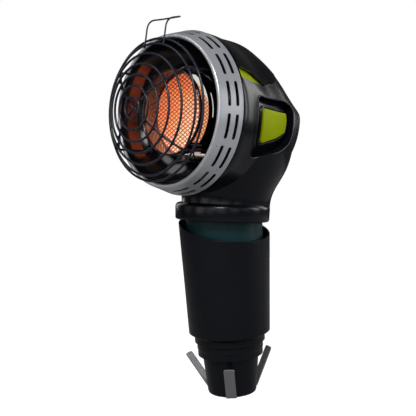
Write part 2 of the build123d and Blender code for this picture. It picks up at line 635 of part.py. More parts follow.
left_space = Pos(-HUGE / 2, 0, 0) * Box(HUGE, 2 * HUGE, 2 * HUGE)
right_space = Pos(HUGE / 2, 0, 0) * Box(HUGE, 2 * HUGE, 2 * HUGE)
save("housing_left", HOUSING * (shell & left_space))
save("housing_right", HOUSING * (shell & right_space))

housing_screws = []
for depth, height in BOSS_PLACES:
    screw = rod(SCREW_RADIUS, 2 - SCREW_REACH, SCREW_REACH)
    screw = screw + rod(SCREW_HEAD_RADIUS, SCREW_REACH, SCREW_REACH + SCREW_HEAD_HEIGHT)
    housing_screws.append(HOUSING * Pos(0, depth, height) * Rot(0, -90, 0) * screw)
save("housing_screws", *housing_screws)

# inlays, accent band and top cover follow the head's surface


def skin(outline, corner, high, low):
    """Piece of a layer between two insets from the head's surface."""
    return side_prism(outline, corner) & (make_head(high) - make_head(low))


thin = SEAT_GAP / 3
inlays = skin(INLAY_OUTLINE, 4, POCKET_DEPTH - INLAY_THICKNESS, POCKET_DEPTH - thin)
save("side_inlay_left", HOUSING * (inlays & left_space))
save("side_inlay_right", HOUSING * (inlays & right_space))
cover_low = COVER_THICKNESS - COVER_PROUD
accent_low = cover_low + thin + ACCENT_THICKNESS
save("top_accent", HOUSING * skin(ACCENT_OUTLINE, 2, cover_low + thin, accent_low))
save("top_cover", HOUSING * skin(COVER_OUTLINE, 3, -COVER_PROUD, cover_low))

# ---------------------------------------------------------------- pilot group
bracket = Rot(0, 0, -PILOT_ANGLE) * (
    Pos(0, BURNER_RADIUS + SEAT_GAP + BRACKET_SHEET / 2, -28) * Box(12, BRACKET_SHEET, 26)
    + Pos(0, (BURNER_RADIUS + SEAT_GAP + PILOT_RADIUS + 5) / 2, -15 - BRACKET_SHEET / 2) * Box(
        24, PILOT_RADIUS + 5 - BURNER_RADIUS - SEAT_GAP, BRACKET_SHEET))
for step, radius in ((-1, ELECTRODE_RADIUS), (0, PILOT_BURNER_RADIUS), (1, PROBE_RADIUS)):
    bracket = bracket - pilot_hole(step, radius + RUN_FIT)
save("pilot_bracket", HEAD * bracket)
pilot_back = -BOWL_DEPTH - 4
save("igniter_electrode", HEAD * pilot_place(-1) * (rod(ELECTRODE_RADIUS, pilot_back, -PILOT_FRONT - 3)
                                                     + rod(0.6, -PILOT_FRONT - 3, -PILOT_FRONT + 4)))
save("pilot_burner", HEAD * pilot_place(0) * rod(PILOT_BURNER_RADIUS, pilot_back, -PILOT_FRONT))
save("thermocouple", HEAD * pilot_place(1) * rod(PROBE_RADIUS, pilot_back, -PILOT_FRONT + 2))

# ---------------------------------------------------------------- gas train
train = -TRAIN_FORWARD
inlet_low = neck_top - INLET_DEPTH
flange_low = plate_low - FLANGE_THICKNESS
inlet = HOUSING * Pos(0, train, 0) * rod(FLANGE_RADIUS, flange_low, plate_low)
inlet_top = COLLAR_CENTRE[2] + flange_low + 1
inlet = inlet + rod(INLET_RADIUS, inlet_low, inlet_top)
inlet = inlet - rod(NECK_RADIUS + RUN_FIT, inlet_low - 1, neck_top + 3.2)
inlet = inlet - rod(2.0, neck_top, inlet_top + 12)
save("inlet_seal", ring(NECK_RADIUS - 0.2, NECK_BORE, neck_top + TOUCH, neck_top + 3.1))
plate = Pos(0, train, plate_low + PLATE_SHEET / 2) * Box(PLATE_WIDTH, PLATE_DEPTH, PLATE_SHEET)
plate = plate - Pos(0, train, 0) * rod(PLATE_BORE, plate_low - 1, plate_low + 5)
flange_screws = []
for turn in (90, 210, 330):
    place = Pos(0, train, 0) * Rot(0, 0, turn) * Pos(FLANGE_RADIUS - 4.0, 0, plate_low + PLATE_SHEET)
    inlet = inlet - HOUSING * place * rod(SCREW_RADIUS + RUN_FIT, -12, 1)
    plate = plate - place * rod(SCREW_RADIUS + SCREW_GAP, -12, 1)
    flange_screws.append(place * (rod(SCREW_RADIUS, -6, 0) + rod(SCREW_HEAD_RADIUS, 0, SCREW_HEAD_HEIGHT)))
ledge_screws = []
for side in (-1, 1):
    place = Pos(side * LEDGE_SCREW, train, plate_low + PLATE_SHEET)
    plate = plate - place * rod(SCREW_RADIUS + SCREW_GAP, -5, 1)
    ledge_screws.append(place * (rod(SCREW_RADIUS, -8, 0) + rod(SCREW_HEAD_RADIUS, 0, SCREW_HEAD_HEIGHT)))
save("gas_inlet", inlet)
save("mounting_plate", HOUSING * plate)
save("inlet_screws", *[HOUSING * screw for screw in flange_screws])
save("plate_screws", *[HOUSING * screw for screw in ledge_screws])
can_low = plate_low + PLATE_SHEET
can_high = can_low + REGULATOR_HEIGHT
save("regulator", HOUSING * Pos(0, train, 0) * (rod(REGULATOR_RADIUS, can_low, can_high - 3)
                                                + rod(REGULATOR_RADIUS - 3, can_high - 3, can_high)))
wide, deep, tall = VALVE_SIZE
valve_back = train + deep / 2
valve_front = train - deep / 2
valve = Pos(0, train, can_high + tall / 2) * Box(wide, deep, tall)
stem_bore = rod(STEM_RADIUS + RUN_FIT, -STEM_SEAT - SEAT_GAP, 1)
valve = valve - Pos(0, valve_back, train_height) * Rot(-90, 0, 0) * stem_bore
save("valve_body", HOUSING * valve)
jet = rod(JET_RADIUS, 0, JET_LENGTH - 3) + rod(JET_RADIUS / 2, JET_LENGTH - 3, JET_LENGTH)
jet = jet - rod(0.5, -1, JET_LENGTH + 1)
save("gas_jet", HOUSING * Pos(0, valve_front, train_height) * Rot(90, 0, 0) * jet)
mouth = -(valve_front - JET_LENGTH + 2)
mixer_end = LIP_FORWARD - BURNER_BACK + 3
tube = ring(MIXER_RADIUS, MIXER_RADIUS - MIXER_WALL, mouth, mixer_end)
tube = tube + turned((MIXER_MOUTH - MIXER_WALL, mouth), (MIXER_MOUTH, mouth), (MIXER_RADIUS, mouth + 4),
                     (MIXER_RADIUS - MIXER_WALL, mouth + 4))
save("mixing_tube", HOUSING * Pos(0, 0, train_height) * Rot(90, 0, 0) * tube)
pilot_x, pilot_up = polar(PILOT_RADIUS, PILOT_ANGLE)
pilot_height = HEAD_HEIGHT + pilot_up
pilot_route = [(wide / 2, train - 9, train_height - 5), (pilot_x, train - 9, train_height - 5),
               (pilot_x, train - 35, pilot_height),
               (pilot_x, -LIP_FORWARD - pilot_back + TOUCH, pilot_height)]
save("pilot_tube", HOUSING * bent_wire(pilot_route, [6, 10], PILOT_TUBE_RADIUS))
switch_place = Pos(-SWITCH_OFFSET, train, can_low + SWITCH_SIZE[2] / 2)
save("tip_over_switch", HOUSING * switch_place * Box(*SWITCH_SIZE))

# ---------------------------------------------------------------- controls
panel_axis = Pos(0, PANEL_REAR, train_height) * Rot(-90, 0, 0)
stem_low = valve_back - STEM_SEAT - PANEL_REAR
knob_gap = KNOB_TRAVEL + 1.0
stem_high = knob_gap + KNOB_LENGTH - KNOB_TRAVEL - 3.0
save("valve_stem", HOUSING * panel_axis * rod(STEM_RADIUS, stem_low, stem_high))
knob = turned((0, knob_gap), (KNOB_RADIUS, knob_gap), (KNOB_RADIUS - 1, knob_gap + 4),
              (KNOB_RADIUS - 2, knob_gap + KNOB_LENGTH - 2), (KNOB_RADIUS - 4, knob_gap + KNOB_LENGTH),
              (0, knob_gap + KNOB_LENGTH))
knob = knob - rod(STEM_RADIUS + RUN_FIT, 0, stem_high + KNOB_TRAVEL + 0.5)
knob = knob + Pos(0, 0, knob_gap + KNOB_LENGTH + 1) * Box(5, 2 * KNOB_RADIUS - 10, 2.2)
save("control_knob", HOUSING * panel_axis * knob)
button_axis = Pos(0, PANEL_REAR, BUTTON_HEIGHT) * Rot(-90, 0, 0)
bore_low = -BUTTON_LENGTH - BUTTON_TRAVEL
piezo = rod(PIEZO_RADIUS, 2 - PIEZO_LENGTH, 2) + rod(PIEZO_RADIUS + 2.5, 0.0, 2)
piezo = piezo - rod(BUTTON_RADIUS + RUN_FIT, bore_low, 3)
save("piezo_igniter", HOUSING * button_axis * piezo)
button_low = bore_low + BUTTON_TRAVEL + 2.5
button_high = 2 + BUTTON_TRAVEL + 1
save("igniter_button", HOUSING * button_axis * (rod(BUTTON_RADIUS, button_low, button_high)
                                                + rod(BUTTON_RADIUS - 1, button_high, button_high + 1)))
spring_height = button_low - bore_low - 2 * SPRING_WIRE - 0.1
coil = Helix(spring_height / SPRING_TURNS, spring_height, SPRING_RADIUS)
spring = sweep(Plane(coil @ 0, z_dir=coil % 0) * Circle(SPRING_WIRE), coil, is_frenet=True)
save("button_spring", HOUSING * button_axis * Pos(0, 0, bore_low + SPRING_WIRE + TOUCH) * spring)
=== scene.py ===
import json
import math

import bmesh
import bpy
from mathutils import Matrix, Vector


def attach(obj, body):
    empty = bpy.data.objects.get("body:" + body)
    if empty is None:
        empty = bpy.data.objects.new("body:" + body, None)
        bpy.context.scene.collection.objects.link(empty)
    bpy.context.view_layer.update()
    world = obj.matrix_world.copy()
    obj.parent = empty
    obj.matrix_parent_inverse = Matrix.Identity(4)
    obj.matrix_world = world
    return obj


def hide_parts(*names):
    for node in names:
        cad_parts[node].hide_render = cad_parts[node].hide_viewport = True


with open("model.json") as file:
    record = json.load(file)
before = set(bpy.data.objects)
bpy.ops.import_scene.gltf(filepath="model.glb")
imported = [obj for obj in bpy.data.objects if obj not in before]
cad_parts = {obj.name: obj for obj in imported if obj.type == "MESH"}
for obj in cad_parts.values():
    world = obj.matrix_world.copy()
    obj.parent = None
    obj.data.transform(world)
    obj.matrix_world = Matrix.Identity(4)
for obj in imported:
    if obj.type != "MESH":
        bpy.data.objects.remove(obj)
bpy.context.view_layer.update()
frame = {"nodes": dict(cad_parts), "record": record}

# A portable propane heater in a cup-holder sleeve.  Shapes are worked out in millimetres in the
# object's own frame and written in metres.
MM = 0.001
SMOOTH_ANGLE = math.radians(32.0)

# ---- Frames ----
LEAN_BACK = math.radians(7.0)
COLLAR_CENTRE = (0.0, -3.4, 227.6)
LIP_FORWARD = 104.0
HEAD_HEIGHT = 131.3
FLAT = Matrix()
HOUSING = Matrix.Translation(COLLAR_CENTRE) @ Matrix.Rotation(-LEAN_BACK, 4, "X")
HEAD = HOUSING @ Matrix.Translation((0.0, -LIP_FORWARD, HEAD_HEIGHT)) @ Matrix.Rotation(math.pi / 2, 4, "X")

# ---- Round head, measured from the lip plane ----
LIP_INNER = 87.75
LIP_OUTER = 92.0
BEZEL_REAR = 100.6
BEZEL_DEPTH = 30.5
BEZEL_SHEET = 0.8
SLOTS = 16
SLOT_LENGTH = 29.5
SLOT_WIDTH = 4.0
SLOT_DEPTHS = (12.9, 23.1)
BOWL_SHEET = 0.8
BURNER_RADIUS = 52.0
BURNER_FRONT = 10.0
BURNER_BACK = 58.0
TILE_FRONT = 31.0
TILE_RADIUS = 50.7

# ---- Collar of the housing ----
COLLAR_RADIUS = 60.3
COLLAR_HEIGHT = 22.0
COLLAR_FLARE = 0.5
COLLAR_ROUND = 2.5
COLLAR_SHOULDER = 6.0
SKIN_GAP = 0.12

# ---- Side pockets, as depth and height on the side of the housing ----
POCKET_OUTLINE = ((-40, 152), (21, 150), (33, 144), (34, 117), (27, 100),
                  (10, 90), (-16, 83), (-38, 79), (-43, 108))
INLAY_OUTLINE = ((-23, 139), (24, 136), (26, 128), (25, 113), (8, 105), (-21, 97), (-23, 118))
EDGE_BEAD = 0.8
FRAME_BEAD = 1.7

# ---- Control knob, with heights above the rear panel ----
PANEL_REAR = 66.0
KNOB_HEIGHT = 109.0
GRIP_LOW = 9.5
GRIP_HIGH = 18.5
GRIP_REACH = 15.4
GRIP_RADIUS = 0.6
GRIP_RIBS = 24
POINTER_ENDS = ((-15.0, 19.2), (-12.8, 21.1))
POINTER_RADIUS = 0.5
MARK_TURNS = (-100.0, -60.0, 0.0, 60.0, 100.0)
MARK_RADIUS = 22.0
MARK_LENGTH = 3.5
MARK_WIRE = 0.4

# ---- Wire guard ----
GUARD_WIRE = 1.45
GUARD_SPHERE = 120.0
GUARD_FRONT = 51.5
GUARD_RADII = (12.5, 25.8, 39.0, 52.0, 65.0, 77.5, 84.0)
RIB_ANGLE = 51.0
RIB_RADIUS = 74.55
RIB_BACK = 33.0
HOOK_WIRE = 1.0
HOOK_HALF = 16.8
HOOK_HEIGHT = 106.5
HOOK_BACK = (112.0, -6.0)

# ---- Burner mesh ----
MESH_WIRE = 0.55
MESH_PITCH = 4.4
MESH_ANGLE = 32.0

# ---- Plain colours ----
BLACK = (0.0, 0.0, 0.0, 1.0)
WHITE = (1.0, 1.0, 1.0, 1.0)


# ------------------------------------------------------------------ shader arithmetic
class Signal:
    """A socket of a finish that takes part in Python arithmetic."""

    def __init__(self, finish, socket):
        self.finish = finish
        self.socket = socket

    def join(self, operation, left, right):
        return self.finish.node("ShaderNodeMath", {"operation": operation}, {0: left, 1: right})

    def __add__(self, other):
        return self.join("ADD", self, other)

    def __radd__(self, other):
        return self.join("ADD", other, self)

    def __sub__(self, other):
        return self.join("SUBTRACT", self, other)

    def __rsub__(self, other):
        return self.join("SUBTRACT", other, self)

    def __mul__(self, other):
        return self.join("MULTIPLY", self, other)

    def __rmul__(self, other):
        return self.join("MULTIPLY", other, self)

    def __truediv__(self, other):
        return self.join("DIVIDE", self, other)

    def __pow__(self, other):
        return self.join("POWER", self, other)


class Finish:
    """The node tree of one material, ending in a Principled shader."""

    def __init__(self, name):
        self.material = bpy.data.materials.new(name)
        self.material.use_nodes = True
        self.tree = self.material.node_tree
        self.tree.nodes.clear()
        self.place = self.node("ShaderNodeTexCoord", output="Object")

    def node(self, kind, settings=None, sockets=None, output=0):
        """Any node: its settings first, then the values or links of its sockets."""
        node = self.tree.nodes.new(kind)
        for name, value in (settings or {}).items():
            if name == "stops":
                self.set_stops(node.color_ramp, value)
            else:
                setattr(node, name, value)
        for name, value in (sockets or {}).items():
            if isinstance(value, Signal):
                self.tree.links.new(value.socket, node.inputs[name])
            else:
                node.inputs[name].default_value = value
        return Signal(self, node.outputs[output])

    def set_stops(self, ramp, stops):
        while len(ramp.elements) < len(stops):
            ramp.elements.new(0.5)
        for element, (place, colour) in zip(ramp.elements, stops):
            element.position = place
            element.color = (*colour, 1.0)

    def noise(self, scale, detail=3.0, place=None):
        """Noise with features of about one over the scale, in metres."""
        values = {"Vector": place or self.place, "Scale": scale, "Detail": detail}
        return self.node("ShaderNodeTexNoise", None, values)

    def mix(self, factor, first, second):
        """Colour between two colours."""
        values = {0: factor, 6: first, 7: second}
        return self.node("ShaderNodeMix", {"data_type": "RGBA"}, values, 2)

    def clamp(self, value, low, high):
        """Value moved from low..high to 0..1, with soft ends."""
        values = {"Value": value, "From Min": low, "From Max": high}
        return self.node("ShaderNodeMapRange", {"interpolation_type": "SMOOTHSTEP"}, values)

    def window(self, value, begin, full, fade, end):
        """One between full and fade, falling to zero at begin and at end."""
        return self.clamp(value, begin, full) * self.clamp(value, end, fade)

    def bump(self, height, distance, strength=1.0, normal=None):
        values = {"Height": height, "Distance": distance, "Strength": strength}
        if normal:
            values["Normal"] = normal
        return self.node("ShaderNodeBump", None, values)

    def soft_edges(self, radius):
        """Normal that rounds the edges of a moulding."""
        return self.node("ShaderNodeBevel", {"samples": 4}, {"Radius": radius})

    def head_place(self):
        """Coordinates across and along the round head: x, up, forward of the lip plane."""
        spin = HEAD.to_euler()
        values = {"Vector": self.place, "Location": HEAD.translation * MM, "Rotation": spin}
        return self.node("ShaderNodeMapping", {"vector_type": "TEXTURE"}, values)

    def parts(self, vector):
        """The three numbers of a vector."""
        split = self.node("ShaderNodeSeparateXYZ", None, {0: vector})
        return [Signal(self, socket) for socket in split.socket.node.outputs]

    def close(self, colour, roughness, **values):
        """Principled shader and output."""
        sockets = {"Base Color": colour, "Roughness": roughness}
        for name, value in values.items():
            sockets[name.replace("_", " ").title().replace("Ior", "IOR")] = value
        shader = self.node("ShaderNodeBsdfPrincipled", None, sockets)
        end = self.tree.nodes.new("ShaderNodeOutputMaterial")
        self.tree.links.new(shader.socket, end.inputs["Surface"])
        return self.material


def shade(colour, factor):
    """Colour with an alpha of one, lighter or darker by a factor."""
    return (*[min(1.0, part * factor) for part in colour], 1.0)


# ------------------------------------------------------------------ finishes
def moulded(name, colour, roughness, grain=1500.0, depth=0.00003, specular=0.5, edge=0.0):
    """Moulded plastic: fine grain, faint flow marks and slightly worn shine."""
    finish = Finish(name)
    flow = finish.noise(18.0)
    speck = finish.noise(grain, 2.0)
    tone = finish.mix(flow * 0.7 + speck * 0.3, shade(colour, 0.75), shade(colour, 1.3))
    gloss = roughness * 0.85 + finish.noise(60.0) * (roughness * 0.3)
    normal = finish.soft_edges(edge) if edge else None
    relief = finish.bump(speck, depth, 0.6, normal)
    return finish.close(tone, gloss, normal=relief, specular_ior_level=specular)


def metal(name, colour, roughness, grain=900.0, stretch=(1.0, 1.0, 1.0), depth=0.00002, metallic=1.0):
    """Bare or plated metal: brushed or cast grain and uneven tarnish."""
    finish = Finish(name)
    along = finish.node("ShaderNodeVectorMath", {"operation": "MULTIPLY"}, {0: finish.place, 1: stretch})
    grain_lines = finish.noise(grain, 3.0, along)
    tarnish = finish.noise(45.0, 4.0)
    tone = finish.mix(tarnish * 0.6 + grain_lines * 0.4, shade(colour, 0.78), shade(colour, 1.12))
    gloss = roughness * 0.8 + grain_lines * (roughness * 0.4)
    relief = finish.bump(grain_lines, depth, 0.5)
    return finish.close(tone, gloss, normal=relief, metallic=metallic)


def silver_paint():
    """Satin silver coat with fine flakes, drawn round the head."""
    finish = Finish("satin_silver")
    flakes = finish.node("ShaderNodeTexVoronoi", None, {"Vector": finish.place, "Scale": 1700.0})
    cloud = finish.noise(25.0)
    tone = finish.mix(cloud * 0.5 + flakes * 0.5, (0.25, 0.26, 0.28, 1.0), (0.46, 0.475, 0.51, 1.0))
    gloss = 0.25 + finish.noise(120.0) * 0.08
    relief = finish.bump(flakes, 0.00001, 0.4)
    return finish.close(tone, gloss, normal=relief, metallic=0.55)


def dark_bowl():
    """Black glass-like enamel of the reflector, with spinning marks.

    The red stripe on each side and the grey patch low down are painted reflections: they glow by
    themselves and stay where they are under any light.
    """
    finish = Finish("bowl_enamel")
    across, up, ahead = finish.parts(finish.head_place())
    radius = (across * across + up * up) ** 0.5
    marks = finish.node("ShaderNodeMath", {"operation": "SINE"}, {0: radius * 9000.0})
    haze = finish.noise(30.0, 4.0)
    tone = finish.mix(haze, (0.0015, 0.0015, 0.002, 1.0), (0.004, 0.0035, 0.0035, 1.0))
    stripe = finish.window(ahead, -0.0245, -0.0225, -0.0125, -0.0095)
    fade = finish.clamp(across * across, 0.0025, 0.0042) * finish.clamp(up, -0.058, -0.050)
    cloudy = stripe * fade * finish.clamp(haze, 0.2, 0.55)
    glow = finish.mix(cloudy, BLACK, (0.100, 0.014, 0.005, 1.0))
    spread = ((across + 0.013) * 55.0) ** 2.0 + ((up + 0.068) * 130.0) ** 2.0
    patch = finish.clamp(spread, 1.0, 0.2)
    glow = finish.mix(patch, glow, (0.11, 0.105, 0.11, 1.0))
    gloss = 0.13 + haze * 0.06
    relief = finish.bump(marks * 0.5 + haze, 0.00001, 0.2)
    return finish.close(tone, gloss, normal=relief, specular_ior_level=0.16, emission_color=glow,
                        emission_strength=1.0)


def polished_cup():
    """Drawn steel, darker on its outer side and at the rim, and lighter toward the bottom by a painted
    reflection.

    The mesh mirrored on both sides of its wall, the pale edge of that mirror image, the patch under it
    and the thin glint behind it are painted reflections, which glow by themselves under any light.
    """
    finish = Finish("polished_cup")
    across, up, ahead = finish.parts(finish.head_place())
    radius = (across * across + up * up) ** 0.5
    # Painted reflection: the steel's colour turns lighter toward the bottom and darker toward the top.
    height = finish.clamp(up, 0.030, -0.045)
    streak = finish.noise(300.0, 3.0)
    tone = finish.mix(height, (0.11, 0.14, 0.18, 1.0), (0.50, 0.54, 0.62, 1.0))
    tone = finish.mix(streak * 0.3, tone, (0.26, 0.27, 0.28, 1.0))
    outside = finish.clamp(radius, 0.05145, 0.05155)
    tone = finish.mix(outside, tone, (0.035, 0.033, 0.036, 1.0))
    tone = finish.mix(finish.clamp(ahead, -0.0122, -0.0112), tone, (0.05, 0.045, 0.05, 1.0))
    side = outside * finish.clamp(across * across, 0.0004, 0.0005)
    band = side * finish.window(ahead, -0.0226, -0.0221, -0.0124, -0.0118)
    band = band * finish.window(up, -0.037, -0.036, 0.0435, 0.0450)
    lines = crossing(finish, up + ahead * 0.8, up - ahead * 0.8, 0.0046)
    mirrored = finish.mix(lines, (0.50, 0.09, 0.05, 1.0), (1.0, 0.58, 0.26, 1.0))
    # Painted reflection: the pale edge of the mirrored mesh.
    pale_edge_reflection = finish.clamp(up * 0.42 - ahead, 0.0262, 0.0276)
    mirrored = finish.mix(pale_edge_reflection, mirrored, (0.80, 0.74, 0.70, 1.0))
    glow = finish.mix(band, BLACK, mirrored)
    patch = side * finish.window(up, -0.0510, -0.0500, -0.0455, -0.0445)
    patch = patch * finish.window(ahead, -0.0380, -0.0370, -0.0290, -0.0280)
    glow = finish.mix(patch, glow, (0.60, 0.36, 0.32, 1.0))
    glint = side * finish.window(ahead, -0.0306, -0.0302, -0.0290, -0.0286)
    glint = glint * finish.window(up, -0.007, -0.005, 0.0215, 0.0235)
    glow = finish.mix(glint, glow, (0.62, 0.62, 0.64, 1.0))
    gloss = 0.10 + streak * 0.10
    relief = finish.bump(streak, 0.00002, 0.3)
    return finish.close(tone, gloss, normal=relief, metallic=1.0, emission_color=glow, emission_strength=0.9)


def crossing(finish, first, second, pitch):
    """Brightness between two families of crossing dark lines."""
    waves = []
    for place in (first, second):
        wave = finish.node("ShaderNodeMath", {"operation": "SINE"}, {0: place * (2 * math.pi / pitch)})
        waves.append(finish.clamp(wave, -0.9, 0.1))
    return waves[0] * waves[1]


def glowing_tile():
    """Perforated ceramic, orange where it is hottest and cream elsewhere."""
    finish = Finish("glowing_ceramic")
    across, up, ahead = finish.parts(finish.head_place())
    slant = finish.clamp(across * 0.75 - up * 0.65 + finish.noise(40.0) * 0.012, -0.040, 0.045)
    glow = finish.node("ShaderNodeValToRGB", {"stops": (
        (0.0, (0.92, 0.17, 0.05)), (0.40, (1.0, 0.33, 0.11)), (1.0, (0.98, 0.66, 0.45)))}, {0: slant})
    tilt = math.radians(MESH_ANGLE)
    rise, run = up * math.cos(tilt), across * math.sin(tilt)
    pitch = MM * MESH_PITCH
    cells = crossing(finish, rise - run - pitch / 4, rise + run - pitch / 4, pitch)
    glow = finish.mix(cells, finish.mix(0.5, glow, (0.60, 0.10, 0.05, 1.0)), glow)
    holes = finish.node("ShaderNodeTexVoronoi", None, {"Vector": finish.place, "Scale": 1400.0})
    solid = finish.clamp(holes, 0.05, 0.5)
    body = finish.mix(solid * 0.25 + 0.75, (0.60, 0.20, 0.06, 1.0), glow)
    relief = finish.bump(solid, 0.0004, 0.5)
    return finish.close(body, 0.85, normal=relief, emission_color=body, emission_strength=0.8)


def hot_mesh():
    """Heat-tinted wire, red-brown in its hollows, with a painted highlight on its crests."""
    finish = Finish("hot_wire")
    across, up, ahead = finish.parts(finish.head_place())
    # Painted highlight: the wires turn lighter where the weave rises to the front.
    crest_highlight = finish.clamp(ahead, -0.0300, -0.0295)
    scale = finish.noise(220.0, 3.0)
    slant = finish.clamp(across * 0.75 - up * 0.65, -0.040, 0.045)
    low = finish.mix(slant, (0.09, 0.012, 0.008, 1.0), (0.30, 0.12, 0.08, 1.0))
    high = finish.mix(slant, (0.15, 0.025, 0.014, 1.0), (0.36, 0.16, 0.10, 1.0))
    tone = finish.mix(crest_highlight, low, finish.mix(scale * 0.3, high, (0.9, 0.5, 0.2, 1.0)))
    return finish.close(tone, 0.5 + scale * 0.2, metallic=0.2, emission_color=tone, emission_strength=0.15,
                        normal=finish.bump(scale, 0.00005, 0.5))


def cylinder_enamel():
    """Dark teal enamel on steel, with faint orange peel."""
    finish = Finish("teal_enamel")
    peel = finish.noise(420.0, 1.0)
    cloud = finish.noise(12.0)
    tone = finish.mix(cloud, (0.002, 0.014, 0.016, 1.0), (0.005, 0.021, 0.024, 1.0))
    gloss = 0.30 + finish.noise(90.0) * 0.08
    return finish.close(tone, gloss, normal=finish.bump(peel, 0.00004, 0.35), specular_ior_level=0.15)


def felt():
    """Ceramic fibre felt."""
    finish = Finish("fibre_felt")
    strands = finish.noise(1400.0, 5.0)
    tone = finish.mix(strands, (0.55, 0.52, 0.46, 1.0), (0.85, 0.83, 0.78, 1.0))
    return finish.close(tone, 0.95, normal=finish.bump(strands, 0.0002, 0.8))


FINISHES = {
    "black_housing": moulded("housing_black", (0.0020, 0.0024, 0.0042), 0.24, specular=0.2),
    "black_gloss": moulded("cover_black", (0.0034, 0.0036, 0.0046), 0.12, depth=0.000008, edge=0.0008,
                           specular=0.12),
    "green_plastic": moulded("yellow_green", (0.20, 0.25, 0.0), 0.45, specular=0.03, edge=0.0008),
    "silver_paint": silver_paint(),
    "bowl_metal": dark_bowl(),
    "polished_steel": polished_cup(),
    "wire_black": moulded("wire_enamel", (0.006, 0.007, 0.013), 0.28, grain=700.0, specular=0.25),
    "ceramic": glowing_tile(),
    "white_ceramic": moulded("white_ceramic", (0.75, 0.72, 0.66), 0.45, grain=900.0),
    "mesh_steel": hot_mesh(),
    "steel": metal("sheet_steel", (0.30, 0.29, 0.30), 0.36, stretch=(1.0, 1.0, 12.0)),
    "brass": metal("turned_brass", (0.17, 0.13, 0.08), 0.3),
    "zinc_casting": metal("zinc_casting", (0.55, 0.55, 0.56), 0.48, grain=500.0, depth=0.0001),
    "rubber": moulded("black_rubber", (0.02, 0.02, 0.02), 0.75, grain=1100.0, depth=0.0001),
    "gasket": felt(),
    "cylinder_paint": cylinder_enamel(),
    "sleeve_plastic": moulded("sleeve_black", (0.0024, 0.0028, 0.0044), 0.34, grain=1300.0, depth=0.00005,
                              specular=0.14, edge=0.0009),
    "strip_steel": metal("strip_grey", (0.20, 0.19, 0.205), 0.42, grain=1200.0, stretch=(1.0, 1.0, 0.1),
                         metallic=0.6),
    "black_control": moulded("control_black", (0.014, 0.014, 0.015), 0.45, edge=0.0006),
    "screw_steel": metal("plated_steel", (0.55, 0.54, 0.52), 0.28),
}


# ------------------------------------------------------------------ mesh making
def eased(points, reach, closed=True, steps=4):
    """Line of points with its corners rounded over a reach from each corner."""
    points = [Vector(point) for point in points]
    result = []
    for index, corner in enumerate(points):
        if not closed and index in (0, len(points) - 1):
            result.append(corner)
            continue
        before = points[index - 1] - corner
        after = points[(index + 1) % len(points)] - corner
        length = reach[index] if isinstance(reach, (list, tuple)) else reach
        length = min(length, before.length * 0.49, after.length * 0.49)
        if length < 1e-6:
            result.append(corner)
            continue
        start = corner + before.normalized() * length
        end = corner + after.normalized() * length
        for step in range(steps + 1):
            share = step / steps
            result.append(start.lerp(corner, share).lerp(corner.lerp(end, share), share))
    return result


def circle(radius, count, height=0.0):
    """Points round the axis of a frame."""
    turns = [2 * math.pi * index / count for index in range(count)]
    return [Vector((radius * math.cos(turn), radius * math.sin(turn), height)) for turn in turns]


def polar(radius, angle):
    """Point at an angle from straight up, toward +X."""
    return radius * math.sin(math.radians(angle)), radius * math.cos(math.radians(angle))


class Mould:
    """Vertices in millimetres and faces that become one piece."""

    def __init__(self):
        self.vertices = []
        self.faces = []

    def skin(self, rows, ring=True, wrap=False):
        """Faces between rows of points; a ring closes each row, and wrap joins the last row to the first."""
        start = len(self.vertices)
        count = len(rows[0])
        for row in rows:
            self.vertices.extend(row)
        for index in range(len(rows) if wrap else len(rows) - 1):
            low = start + index * count
            high = start + (index + 1) % len(rows) * count
            for step in range(count if ring else count - 1):
                ahead = (step + 1) % count
                self.faces.append((low + step, low + ahead, high + ahead, high + step))

    def cap(self, row, flip=False):
        """Flat face over a row of points."""
        start = len(self.vertices)
        self.vertices.extend(row)
        face = list(range(start, start + len(row)))
        self.faces.append(face[::-1] if flip else face)

    def spin(self, outline, place=FLAT, count=96):
        """Closed outline of (radius, height) turned about the axis of a frame."""
        rows = [[place @ point for point in circle(radius, count, height)] for radius, height in outline]
        self.skin(rows, wrap=True)

    def tube(self, path, radius, closed=False, sides=10):
        """Round wire along a path."""
        count = len(path)
        normal = None
        rows = []
        for index, point in enumerate(path):
            ahead = path[(index + 1) % count] if closed or index < count - 1 else point
            behind = path[index - 1] if closed or index > 0 else point
            along = (ahead - behind).normalized()
            normal = along.orthogonal() if normal is None else normal - along * normal.dot(along)
            normal.normalize()
            side = along.cross(normal)
            rows.append([point + normal * spot.x + side * spot.y for spot in circle(radius, sides)])
        self.skin(rows, wrap=closed)
        if not closed:
            self.cap(rows[0], True)
            self.cap(rows[-1])

    def blob(self, centre, wide, tall, place=FLAT, count=12):
        """Small rounded lump, such as a weld."""
        turns = [math.pi * step / 6 for step in range(7)]
        outline = [(wide * math.sin(turn), -tall * math.cos(turn)) for turn in turns]
        rows = [[place @ (Vector(centre) + point) for point in circle(radius, count, height)]
                for radius, height in outline]
        self.skin(rows)

    def piece(self, name, slot, body, stands_for=(), sheet=0.0):
        """The finished object, riding on a body."""
        mesh = bpy.data.meshes.new(name)
        mesh.from_pydata([point * MM for point in self.vertices], [], self.faces)
        clean(mesh)
        piece = bpy.data.objects.new(name, mesh)
        link(piece)
        mesh.materials.append(FINISHES[slot])
        if sheet:
            thicken(piece, sheet * MM)
        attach(piece, body)
        if stands_for:
            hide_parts(*stands_for)


def clean(mesh):
    """Merge doubled points, turn faces outward, and mark sharp edges."""
    work = bmesh.new()
    work.from_mesh(mesh)
    bmesh.ops.remove_doubles(work, verts=work.verts, dist=0.000004)
    bmesh.ops.dissolve_degenerate(work, edges=work.edges, dist=0.000002)
    bmesh.ops.recalc_face_normals(work, faces=work.faces)
    for face in work.faces:
        face.smooth = True
    for edge in work.edges:
        edge.smooth = len(edge.link_faces) != 2 or edge.calc_face_angle(0.0) < SMOOTH_ANGLE
    work.to_mesh(mesh)
    work.free()


